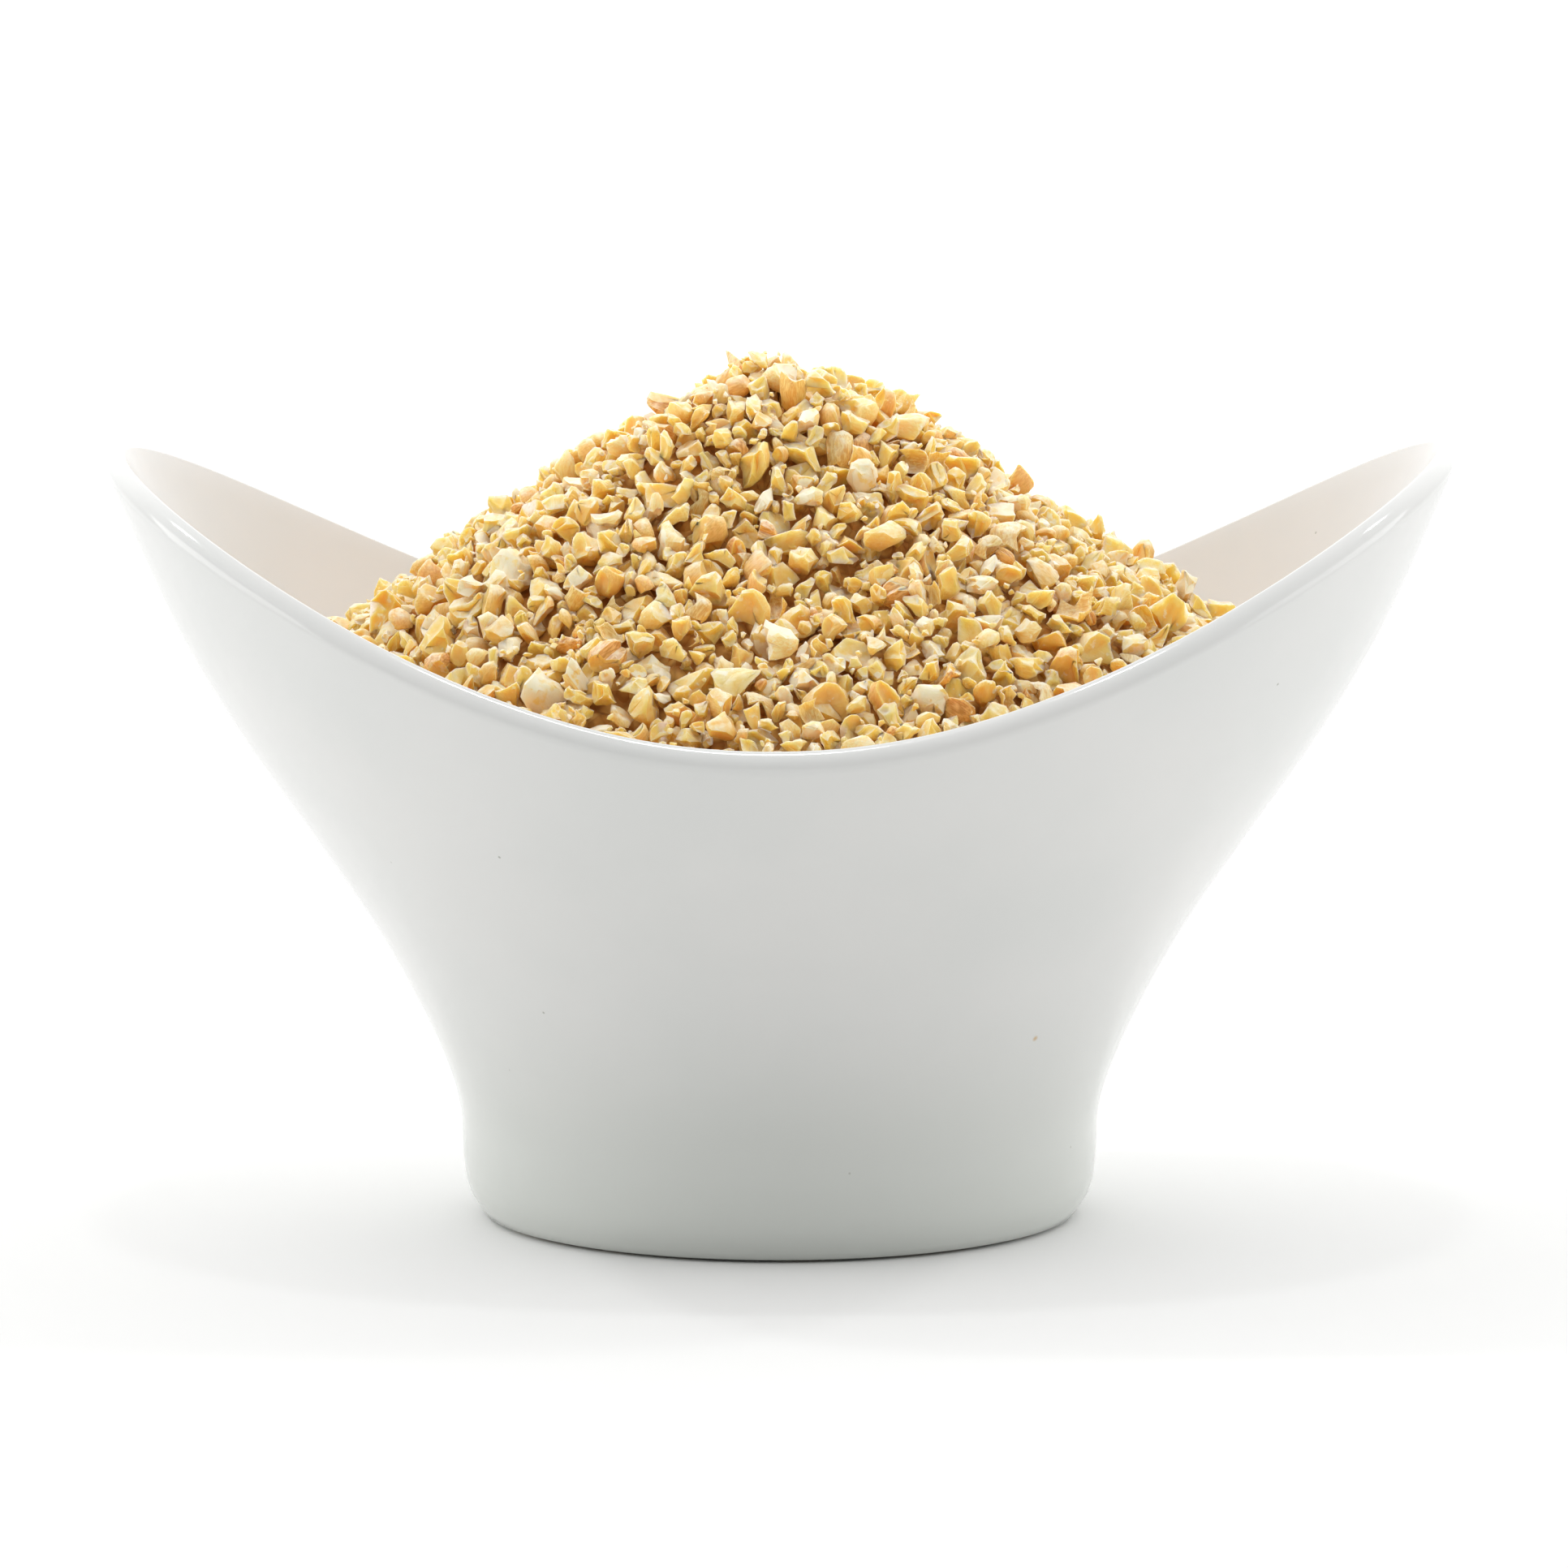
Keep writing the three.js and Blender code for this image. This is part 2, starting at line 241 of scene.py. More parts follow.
def porcelain_finish():
    material, tree, shader = finish("glazed_porcelain")
    place = node(tree, "TexCoord").outputs["Object"]

    cloud = node(tree, "TexNoise", {"Vector": place, "Scale": 38.0, "Detail": 3.0}).outputs["Fac"]
    white = mixed(tree, stepped(tree, cloud, 0.3, 0.7), colour(219, 220, 218), colour(223, 223, 221))
    height = node(tree, "SeparateXYZ", {"Vector": place}).outputs["Z"]
    # Painted shade: from this height down to the foot the glaze is mixed towards a darker grey-green.
    painted_foot_shade = stepped(tree, height, FOOT_SHADE_HEIGHT * MM, 2 * MM, 0.0, 1.0)
    white = mixed(tree, painted_foot_shade, white, colour(208, 211, 206))

    # Fine iron specks: one in a few cells of a loose net holds a dot.
    cell = node(tree, "TexVoronoi", {"Vector": place, "Scale": 230.0})
    dot = stepped(tree, cell.outputs["Distance"], 0.055, 0.02)
    chosen = node(tree, "SeparateColor", {"Color": cell.outputs["Color"]}).outputs["Red"]
    dots = node(tree, "Math", {0: dot, 1: stepped(tree, chosen, 0.82, 0.86)}, operation="MULTIPLY")
    specked = mixed(tree, dots.outputs["Value"], white, colour(176, 178, 170))

    turn = math.radians(BROWN_SPECK["turn"])
    radius, level = wall_point(BROWN_SPECK["height"], 0.0)
    centre = [v * MM for v in (radius * math.cos(turn), radius * math.sin(turn), level)]
    away = node(tree, "VectorMath", {0: place, 1: centre}, operation="DISTANCE").outputs["Value"]
    halo = stepped(tree, away, BROWN_SPECK["radius"] * MM, 0.2 * BROWN_SPECK["radius"] * MM, 0.0, 0.7)
    stained = mixed(tree, halo, specked, colour(196, 160, 96))

    # The ring underneath is wiped free of glaze, and shows the bare clay.
    line = node(tree, "TexNoise", {"Vector": place, "Scale": 160.0, "Detail": 2.0}).outputs["Fac"]
    wander = stepped(tree, line, 0.3, 0.7, 0.0, 0.25 * MM)
    edge = node(tree, "Math", {0: height, 1: wander}, operation="ADD").outputs["Value"]
    glazed = stepped(tree, edge, 0.2 * MM, 0.35 * MM)
    tree.links.new(mixed(tree, glazed, colour(226, 220, 208), stained), shader.inputs["Base Color"])

    smear = node(tree, "TexNoise", {"Vector": place, "Scale": 70.0, "Detail": 4.0}).outputs["Fac"]
    gloss = stepped(tree, smear, 0.25, 0.8, 0.07, 0.15)
    bare = node(tree, "Mix", {0: glazed, 2: 0.75, 3: gloss}).outputs[0]
    tree.links.new(bare, shader.inputs["Roughness"])

    ripple = node(tree, "TexNoise", {"Vector": place, "Scale": 95.0, "Detail": 2.0}).outputs["Fac"]
    bump = node(tree, "Bump", {"Height": ripple, "Strength": 0.12, "Distance": 0.25 * MM})
    tree.links.new(bump.outputs["Normal"], shader.inputs["Normal"])
    shader.inputs["IOR"].default_value = 1.5
    return material


bowl = piece("porcelain_bowl", *spun(bowl_section, BOWL_SEGMENTS))
bowl.data.shade_smooth()
bowl.data.materials.append(porcelain_finish())
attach(bowl, "root")
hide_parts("bowl")

# ---------------------------------------------------------------------------------------------------------
# The bed of the heap
#
# The bulgur deep in the bowl, which only shows as shade between the grains. It follows the inside of the
# bowl, and its top lies a grain or two below the heap's surface, lumpy. Its colour is painted shade: as brown
# as the deepest gaps, and browner towards the edge of each cell, where the grains would meet.
# ---------------------------------------------------------------------------------------------------------

CLEARANCE = 0.3  # gap between bed and porcelain
HEAP_TOP = 98.8  # height of the cone, before the uneven spots
HEAP_SLOPE = 0.83  # fall per millimetre towards the front and back
HEAP_STRETCH = 0.885  # the heap falls that much more gently towards the ears
HEAP_ROUNDING = 12.0  # how far the point of the cone is rounded off
BED_DEPTH = 3.1  # the bed's top below the heap's surface
BED_LUMP = 0.9  # size of the lumps on it
BED_RINGS = 48
BED_SEGMENTS = 144

# Uneven spots where the grains have piled up or slid: x, y, height, reach.
HEAP_LUMPS = [
    (0, 0, 1.3, 7), (43, -2, 1.8, 8), (-28, -4, 1.0, 8), (-48, -8, -1.6, 9), (14, 4, 0.9, 6),
    (-2, -15, 1.0, 6), (9, -22, -1.5, 6), (0, -31, -3.2, 9), (-22, -27, 1.2, 7), (31, -28, 1.0, 8),
    (6, 30, 1.2, 12), (-30, 28, -1.0, 10),
]

# Smaller clumps and hollows, a few grains wide, lie all over it.
CLUMPS = 420
CLUMP_RISE = 0.75  # typical
CLUMP_REACH = (2.6, 5.5)
HEAP_REACH = 68.0

clump_random = np.random.default_rng(5)
clumps = np.column_stack([
    clump_random.uniform(-HEAP_REACH, HEAP_REACH, (CLUMPS, 2)),
    clump_random.normal(0, CLUMP_RISE, CLUMPS),
    clump_random.uniform(*CLUMP_REACH, CLUMPS),
])


def heap_height(x, y):
    away = np.sqrt((x * HEAP_STRETCH) ** 2 + y**2 + HEAP_ROUNDING**2) - HEAP_ROUNDING
    height = HEAP_TOP - HEAP_SLOPE * away
    for lump_x, lump_y, rise, reach in [*HEAP_LUMPS, *clumps]:
        across = np.exp(-(((x - lump_x) / reach) ** 2))
        height = height + rise * across * np.exp(-(((y - lump_y) / reach) ** 2))
    return height


def bed_edge(angle):
    """Where the top of the bed meets the inner wall, as radius and height."""
    heights = np.linspace(FLOOR + FLOOR_CORNER, RIM_LOW + max(RIM_RISE.values()), 400)
    wall = wall_point(heights, thickness(heights) + CLEARANCE)
    top = heap_height(wall[:, 0] * math.cos(angle), wall[:, 0] * math.sin(angle)) - BED_DEPTH
    return wall[np.argmax(wall[:, 1] > top)]


def bed_section(angle):
    edge = bed_edge(angle)
    heights = np.linspace(FLOOR + FLOOR_CORNER, RIM_LOW - 12, 8)
    wall = wall_point(heights, thickness(heights) + CLEARANCE)
    corner = floor_corner(wall[0], 4)[::-1] + (0, CLEARANCE)
    radii = edge[0] * np.linspace(1, 0, BED_RINGS)[1:]
    top = heap_height(radii * math.cos(angle), radii * math.sin(angle)) - BED_DEPTH
    return np.concatenate([[(0, FLOOR + CLEARANCE)], corner, wall, [edge], np.stack([radii, top], -1)])


def bed_finish():
    material, tree, shader = finish("bulgur_in_the_shade")
    place = node(tree, "TexCoord").outputs["Object"]
    cell = node(tree, "TexVoronoi", {"Vector": place, "Scale": 520.0})
    pick = node(tree, "SeparateColor", {"Color": cell.outputs["Color"]}).outputs["Green"]
    # Painted shade: the bed is a darker amber than the grains, and each cell darkens towards its edge as the
    # gaps would.
    tone = mixed(tree, pick, colour(214, 154, 68), colour(244, 202, 116))
    painted_gap_shade = stepped(tree, cell.outputs["Distance"], 0.35, 0.75, 0.0, 0.7)
    tree.links.new(mixed(tree, painted_gap_shade, tone, colour(160, 98, 30)), shader.inputs["Base Color"])
    bump = node(tree, "Bump", {
        "Height": cell.outputs["Distance"], "Strength": 1.0, "Distance": 1.2 * MM,
    }, invert=True)
    tree.links.new(bump.outputs["Normal"], shader.inputs["Normal"])
    shader.inputs["Roughness"].default_value = 0.8
    return material


bed_points, bed_faces = spun(bed_section, BED_SEGMENTS)
bed_random = np.random.default_rng(3)
on_top = bed_points[:, 2] > heap_height(bed_points[:, 0], bed_points[:, 1]) - BED_DEPTH - 0.5
bed_points[on_top, 2] += bed_random.uniform(-BED_LUMP, BED_LUMP, on_top.sum())
bed = piece("bulgur_bed", bed_points, bed_faces)
bed.data.materials.append(bed_finish())
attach(bed, "root")
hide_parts("bulgur")

# ---------------------------------------------------------------------------------------------------------
# How the grains lie
#
# Dry grains are poured over the bed one by one. Each falls straight down onto those below it and comes to
# rest where it finds a low spot, until the heap has its shape. A grain is an egg of three half sizes here.
# ---------------------------------------------------------------------------------------------------------

POUR_CELL = 0.3  # width of a cell of the height map
POUR_FOOTPRINT = 9  # cells that the largest grain reaches from its middle
GRAINS_POURED = 8000
GRAIN_HALF_LENGTH = 1.74  # typical
GRAIN_SPREAD = 0.23  # how much the lengths differ
GRAIN_HALF_LENGTH_RANGE = (1.0, 2.7)
GRAIN_WIDTH = (0.66, 0.98)  # against the length
GRAIN_THICKNESS = (0.55, 0.95)  # against the width
FILLERS_POURED = 6500  # small grains, poured last, that run into the gaps
FILLER_HALF_LENGTH = 1.05
FILLER_HALF_LENGTH_RANGE = (0.7, 1.4)
FILLER_HIGHEST_ABOVE = 0.4
SPOTS_TRIED = 14
SPOTS_WEIGHED = 5  # the lowest of those, where the landing is worked out
HIGHEST_ABOVE = 0.9  # how far a grain's middle may lie above the heap's surface
BURIED_BELOW = 3.0  # a covered grain that lies deeper than this is left out
WALL_GAP = 0.1  # between a grain and the wall that it leans on
BARE_WALL = 200.0  # stands for a height where no grain can lie, beyond the rim

pour_random = np.random.default_rng(11)
pour_line = np.arange(int(2 * HEAP_REACH / POUR_CELL) + 1) * POUR_CELL - HEAP_REACH
heap_surface = heap_height(pour_line[:, None], pour_line[None, :])

# The inner wall flares, so it is a height map too. The grains rest on the bed, or against the wall.
wall_levels = np.linspace(FLOOR + FLOOR_CORNER, RIM_LOW + 10, 600)
inner_wall = wall_point(wall_levels, thickness(wall_levels) + WALL_GAP)
wall_height = np.interp(
    np.hypot(pour_line[:, None], pour_line[None, :]), inner_wall[:, 0], inner_wall[:, 1], right=BARE_WALL
)
pour_ground = np.maximum(heap_surface - BED_DEPTH, wall_height)
open_cells = np.argwhere(heap_surface > wall_height)


def random_turns(random, count):
    """Rotation matrices in all directions alike."""
    quaternions = random.normal(size=(count, 4))
    w, x, y, z = (quaternions / np.linalg.norm(quaternions, axis=1)[:, None]).T
    return np.stack([
        1 - 2 * (y * y + z * z), 2 * (x * y - z * w), 2 * (x * z + y * w),
        2 * (x * y + z * w), 1 - 2 * (x * x + z * z), 2 * (y * z - x * w),
        2 * (x * z - y * w), 2 * (y * z + x * w), 1 - 2 * (x * x + y * y),
    ], -1).reshape(count, 3, 3)


def grain_sizes(random, count, typical, limits):
    """Half length, half width and half thickness of each grain."""
    length = np.exp(random.normal(math.log(typical), GRAIN_SPREAD, count))
    length = np.clip(length, *limits)
    width = length * random.uniform(*GRAIN_WIDTH, count)
    return np.stack([length, width, width * random.uniform(*GRAIN_THICKNESS, count)], -1)


def pour(random, sizes, tried, weighed, highest):
    """Drops grains of these sizes onto the ground, which rises with them.

    Returns their middles, turns and half sizes, without covered grains deeper than BURIED_BELOW.
    """
    steps = np.arange(-POUR_FOOTPRINT, POUR_FOOTPRINT + 1)
    dx, dy = (side * POUR_CELL for side in np.meshgrid(steps, steps, indexing="ij"))
    owner = np.full(pour_ground.shape, -1)
    places = []
    for size in sizes:
        spots = open_cells[random.integers(len(open_cells), size=tried)]
        depth = (pour_ground - heap_surface)[spots[:, 0], spots[:, 1]]
        spots = spots[np.argsort(depth)[:weighed]]
        turns = random_turns(random, weighed)

        # The lower and upper half of each turned egg, as heights over the cells round its middle.
        shape = np.einsum("nij,j,nkj->nik", turns, size**-2.0, turns)[:, :, :, None, None]
        p = shape[:, 2, 2]
        q = shape[:, 0, 2] * dx + shape[:, 1, 2] * dy
        r = shape[:, 0, 0] * dx**2 + 2 * shape[:, 0, 1] * dx * dy + shape[:, 1, 1] * dy**2 - 1
        root = q * q - p * r
        covered = root > 0
        root = np.sqrt(np.where(covered, root, 0))
        lower, upper = (-q - root) / p, (-q + root) / p

        rows, columns = spots[:, 0, None] + steps, spots[:, 1, None] + steps
        below = pour_ground[rows[:, :, None], columns[:, None, :]]
        landing = np.where(covered, below - lower, -np.inf).max(axis=(1, 2))
        above = landing - heap_surface[spots[:, 0], spots[:, 1]]
        best = int(np.argmin(above))
        if above[best] > highest:
            continue
        patch = np.ix_(rows[best], columns[best])
        top = np.where(covered[best], landing[best] + upper[best], -np.inf)
        higher = top > pour_ground[patch]
        pour_ground[patch] = np.where(higher, top, pour_ground[patch])
        owner[patch] = np.where(higher, len(places), owner[patch])
        middle = np.array([*pour_line[spots[best]], landing[best]])
        places.append((middle, turns[best], size, above[best]))

    shows = np.bincount(owner[owner >= 0], minlength=len(places)) > 0
    kept = [place[:3] for place, seen in zip(places, shows) if seen or place[3] > -BURIED_BELOW]
    return kept


grain_places = pour(
    pour_random,
    grain_sizes(pour_random, GRAINS_POURED, GRAIN_HALF_LENGTH, GRAIN_HALF_LENGTH_RANGE),
    SPOTS_TRIED,
    SPOTS_WEIGHED,
    HIGHEST_ABOVE,
)
grain_places += pour(
    pour_random,
    grain_sizes(pour_random, FILLERS_POURED, FILLER_HALF_LENGTH, FILLER_HALF_LENGTH_RANGE),
    SPOTS_TRIED,
    SPOTS_WEIGHED,
    FILLER_HIGHEST_ABOVE,
)
free_places = iter([grain_places[i] for i in pour_random.permutation(len(grain_places))])

# ---------------------------------------------------------------------------------------------------------
# Golden chips
#
# Wheat kernels that were boiled, dried and cracked. These pieces come from the glassy part: sharp chips with
# slightly hollow faces, amber and clear enough that light glows through their edges.
# ---------------------------------------------------------------------------------------------------------

GOLDEN_SHARE = 0.24  # of all the grains
SHAPES_OF_A_KIND = 30
SHARP_EDGE = math.radians(46)
FINEST_DETAIL = 0.09  # points closer than this share of a grain are joined
LONG_EDGE = 0.6  # edges longer than this are bent in the middle
SMALLEST_INSET = 0.13

# The share of the upward direction at which the pale tops and the amber undersides begin and are full.
# The pale tops are white dust and painted light, as if lit from above; the amber undersides are painted shade.
UP_FACING_LIGHT_AND_DUST = (0.2, 0.9)
DOWN_FACING_PAINTED_SHADE = (0.3, -0.7, 0.0, 0.5)
LIGHT_AND_DUST_COVER = (0.12, 0.8)
PAINTED_LIGHT_AND_DUST = (255, 243, 222)
PAINTED_SHADE_AMBER = (248, 186, 78)


def broken_grain(random, cuts, depth, scoop, rough, body=None):
    """A grain of unit half sizes: a round body, broken along a few faces that are slightly hollow.

    Returns its points, its triangles, and 1 for each triangle that is still the round body's skin, else 0.
    """
    grain = body or bmesh.new()
    if body is None:
        bmesh.ops.create_icosphere(grain, subdivisions=2, radius=1.0)
    broken = grain.faces.layers.int.new("broken")
    for normal in random.normal(size=(random.integers(*cuts, endpoint=True), 3)):
        normal /= np.linalg.norm(normal)
        cut = bmesh.ops.bisect_plane(
            grain,
            geom=[*grain.verts, *grain.edges, *grain.faces],
            plane_co=normal * random.uniform(*depth),
            plane_no=normal,
            clear_outer=True,
        )
        outline = [part for part in cut["geom_cut"] if isinstance(part, bmesh.types.BMEdge)]
        for face in bmesh.ops.contextual_create(grain, geom=outline)["faces"]:
            face[broken] = 1
    bmesh.ops.remove_doubles(grain, verts=grain.verts, dist=FINEST_DETAIL)
    bmesh.ops.recalc_face_normals(grain, faces=grain.faces)
    straight = [
        edge for edge in grain.edges
        if edge.calc_length() > LONG_EDGE and any(face[broken] for face in edge.link_faces)
    ]
    bmesh.ops.subdivide_edges(grain, edges=straight, cuts=1)

    hollow = random.uniform(*scoop)
    for face in [f for f in grain.faces if f[broken] and len(f.verts) > 3]:
        inset = 0.22 * math.sqrt(face.calc_area())
        if inset > SMALLEST_INSET:
            bmesh.ops.inset_individual(grain, faces=[face], thickness=inset, depth=-0.6 * hollow * inset)
        bmesh.ops.poke(grain, faces=[face], offset=-hollow * inset)
    bmesh.ops.triangulate(grain, faces=grain.faces)

    # Low noise bends the faces and their edges, as no two breaks are flat.
    where = Vector(random.uniform(-50, 50, 3))
    for point in grain.verts:
        point.co += noise.noise_vector(point.co * 1.3 + where) * rough
        point.co += noise.noise_vector(point.co * 3.1 + where) * rough * 0.6

    grain.verts.index_update()
    points = np.array([point.co for point in grain.verts])
    faces = np.array([[point.index for point in face.verts] for face in grain.faces])
    skin = np.array([1 - face[broken] for face in grain.faces])
    grain.free()
    low, high = points.min(0), points.max(0)
    return (points - (low + high) / 2) / ((high - low) / 2), faces, skin


def grain_shapes(random, make, *settings, **named):
    return [make(random, *settings, **named) for _ in range(SHAPES_OF_A_KIND)]


def lay(name, places, shapes, random, material, size=1.08):
    """Lays one of the shapes in each place, as a single mesh that the shader can tell apart by grain."""
    points, faces, skins, tones, locals_, start = [], [], [], [], [], 0
    for middle, turn, half in places:
        shape, triangles, skin = shapes[random.integers(len(shapes))]
        own = shape * half * size
        points.append(own @ turn.T + middle)
        locals_.append(own)
        faces.append(triangles + start)
        skins.append(skin)
        tones.append(np.full(len(own), random.uniform()))
        start += len(own)
    made = piece(name, np.concatenate(points), np.concatenate(faces).tolist())
    mesh = made.data
    mesh.attributes.new("tone", "FLOAT", "POINT").data.foreach_set("value", np.concatenate(tones))
    mesh.attributes.new("skin", "FLOAT", "FACE").data.foreach_set("value", np.concatenate(skins).astype(float))
    inside = mesh.attributes.new("in_grain", "FLOAT_VECTOR", "POINT")
    inside.data.foreach_set("vector", np.concatenate(locals_).ravel())
    mesh.shade_smooth()
    mesh.set_sharp_from_angle(angle=SHARP_EDGE)
    mesh.materials.append(material)
    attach(made, "root")
    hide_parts("bulgur")
    print(f"{name}: {len(places)} grains, {len(mesh.polygons)} triangles")
    return made


def grain_finish(name, flesh, flour, skin, glow, gloss=0.35):
    """The look of one kind of grain.

    flesh: the colours of the broken faces: of the darkest grain, of the palest one, and of their cloudy spots
    flour: how much of them is white and crumbly, from 0 to 1
    skin: the two colours of the streaks on the unbroken side
    glow: how far light travels inside, in millimetres
    """
    material, tree, shader = finish(name)
    tone = node(tree, "Attribute", attribute_name="tone").outputs["Fac"]
    inside = node(tree, "Attribute", attribute_name="in_grain").outputs["Vector"]
    unbroken = node(tree, "Attribute", attribute_name="skin").outputs["Fac"]
    other = node(tree, "Math", {0: tone, 1: 60.0}, operation="MULTIPLY").outputs["Value"]

    def cloud(scale, detail=2.0, where=inside):
        inputs = {"Vector": where, "W": other, "Scale": scale, "Detail": detail}
        return node(tree, "TexNoise", inputs, noise_dimensions="4D").outputs["Fac"]

    body = mixed(tree, tone, colour(*flesh[0]), colour(*flesh[1]))
    veiled = mixed(tree, stepped(tree, cloud(0.9), 0.4, 0.72, 0.0, 0.55), body, colour(*flesh[2]))
    chalky = stepped(tree, cloud(0.8, 4.0), 0.66 - 0.3 * flour, 0.74 - 0.3 * flour)
    floured = mixed(tree, chalky, veiled, colour(255, 238, 208))

    along = node(tree, "VectorMath", {0: inside, 1: (0.3, 1.6, 1.6)}, operation="MULTIPLY").outputs["Vector"]
    streak = stepped(tree, cloud(3.2, 3.0, along), 0.35, 0.65)
    bran = mixed(tree, streak, colour(*skin[0]), colour(*skin[1]))
    worn = stepped(tree, cloud(1.6, 3.0), 0.62, 0.7)
    held = node(tree, "Math", {0: unbroken, 1: worn}, operation="SUBTRACT", use_clamp=True).outputs["Value"]
    bare = mixed(tree, held, floured, bran)

    # Faces that point up are paled with fine white dust from the cracking and with painted light from above,
    # and faces that point down get painted shade in a deep amber.
    facing = node(tree, "NewGeometry").outputs["Normal"]
    upwards = node(tree, "SeparateXYZ", {"Vector": facing}).outputs["Z"]
    # Dust and painted light: the upward side is mixed towards pale cream.
    lit_and_dusty_facing = stepped(tree, upwards, *UP_FACING_LIGHT_AND_DUST)
    patchy = stepped(tree, cloud(1.3, 4.0), 0.3, 0.7, *LIGHT_AND_DUST_COVER)
    painted_light_and_dust_share = node(tree, "Math", {0: lit_and_dusty_facing, 1: patchy}, operation="MULTIPLY").outputs["Value"]
    # Painted shade: the downward side is mixed towards deep amber.
    with_painted_shade = mixed(tree, stepped(tree, upwards, *DOWN_FACING_PAINTED_SHADE), bare, colour(*PAINTED_SHADE_AMBER))
    tree.links.new(mixed(tree, painted_light_and_dust_share, with_painted_shade, colour(*PAINTED_LIGHT_AND_DUST)), shader.inputs["Base Color"])

    dull = node(tree, "Mix", {0: chalky, 2: gloss, 3: 0.85}).outputs[0]
    tree.links.new(dull, shader.inputs["Roughness"])

    grainy = node(tree, "Bump", {"Height": cloud(5.5, 4.0), "Strength": 0.55, "Distance": 0.05 * MM})
    fibres = node(tree, "Bump", {
        "Height": streak, "Strength": 0.5, "Distance": 0.03 * MM, "Normal": grainy.outputs["Normal"],
    })
    tree.links.new(fibres.outputs["Normal"], shader.inputs["Normal"])
    shader.inputs["Subsurface Weight"].default_value = 0.9
    shader.inputs["Specular IOR Level"].default_value = 0.12
    shader.inputs["Subsurface Radius"].default_value = (1.0, 0.9, 0.75)
    shader.inputs["Subsurface Scale"].default_value = glow * MM
    return material


golden_random = np.random.default_rng(21)
lay(
    "golden_chips",
    list(islice(free_places, int(GOLDEN_SHARE * len(grain_places)))),
    grain_shapes(golden_random, broken_grain, cuts=(6, 9), depth=(0.33, 0.72), scoop=(0.1, 0.9), rough=0.19),
    golden_random,
    grain_finish(
        "glassy_golden_wheat",
        flesh=((248, 196, 94), (252, 208, 118), (254, 222, 154)),
        flour=0.12,
        skin=((246, 197, 108), (252, 213, 139)),
        glow=2.0,
    ),
)

# ---------------------------------------------------------------------------------------------------------
# Straw chips
#
# Paler chips from nearer the middle of the kernel, less clear, with a thin white dust on some faces.
# ---------------------------------------------------------------------------------------------------------

STRAW_SHARE = 0.24

straw_random = np.random.default_rng(22)
lay(
    "straw_chips",
    list(islice(free_places, int(STRAW_SHARE * len(grain_places)))),
    grain_shapes(straw_random, broken_grain, cuts=(6, 8), depth=(0.34, 0.74), scoop=(0.0, 0.8), rough=0.21),
    straw_random,
    grain_finish(
        "straw_coloured_wheat",
        flesh=((252, 207, 116), (254, 219, 139), (255, 230, 174)),
        flour=0.3,
        skin=((250, 205, 125), (254, 219, 149)),
        glow=1.7,
        gloss=0.45,
    ),
)

# ---------------------------------------------------------------------------------------------------------
# Smoky chips
#
# The glassiest pieces, greyish tan and rounder, because one side is often the kernel's own bare surface.
# ---------------------------------------------------------------------------------------------------------

SMOKY_SHARE = 0.18

smoky_random = np.random.default_rng(23)
lay(
    "smoky_chips",
    list(islice(free_places, int(SMOKY_SHARE * len(grain_places)))),
    grain_shapes(smoky_random, broken_grain, cuts=(5, 7), depth=(0.38, 0.8), scoop=(0.0, 0.8), rough=0.16),
    smoky_random,
    grain_finish(
        "glassy_tan_wheat",
        flesh=((232, 185, 99), (244, 199, 118), (252, 217, 149)),
        flour=0.05,
        skin=((230, 185, 108), (246, 204, 133)),
        glow=2.0,
        gloss=0.3,
    ),
)

# ---------------------------------------------------------------------------------------------------------
# Floury chunks
#
# Pieces of the soft white middle, opaque and matt, with crumbly edges.
# ---------------------------------------------------------------------------------------------------------

FLOURY_SHARE = 0.16

floury_random = np.random.default_rng(24)
lay(
    "floury_chunks",
    list(islice(free_places, int(FLOURY_SHARE * len(grain_places)))),
    grain_shapes(floury_random, broken_grain, cuts=(6, 8), depth=(0.34, 0.74), scoop=(-0.4, 0.9), rough=0.27),
    floury_random,
    grain_finish(
        "floury_wheat",
        flesh=((253, 216, 136), (255, 226, 161), (255, 234, 188)),
        flour=0.9,
        skin=((252, 213, 141), (255, 230, 170)),
        glow=0.7,
        gloss=0.6,
    ),
)

# ---------------------------------------------------------------------------------------------------------
# Pieces with skin
#
# Rounded ends and sides of kernels that still wear their tan bran, broken flat across the flesh.
# ---------------------------------------------------------------------------------------------------------

SKINNED_SHARE = 0.11

skinned_random = np.random.default_rng(25)
lay(
    "pieces_with_skin",
    list(islice(free_places, int(SKINNED_SHARE * len(grain_places)))),
    grain_shapes(skinned_random, broken_grain, cuts=(3, 5), depth=(0.1, 0.6), scoop=(0.0, 0.8), rough=0.13),
    skinned_random,
    grain_finish(
        "wheat_with_bran",
        flesh=((248, 199, 102), (253, 211, 127), (255, 226, 165)),
        flour=0.3,
        skin=((234, 185, 114), (248, 207, 137)),
        glow=0.9,
        gloss=0.45,
    ),
)

# ---------------------------------------------------------------------------------------------------------
# Creased halves
#
# Long pieces of whole kernels, brown with bran, with the dark crease that runs along a wheat kernel.
# ---------------------------------------------------------------------------------------------------------

CREASE_STATIONS = 9
CREASE_ROUND = 12
CREASE_DEPTH = 0.5
CREASED_SHARE = 0.03


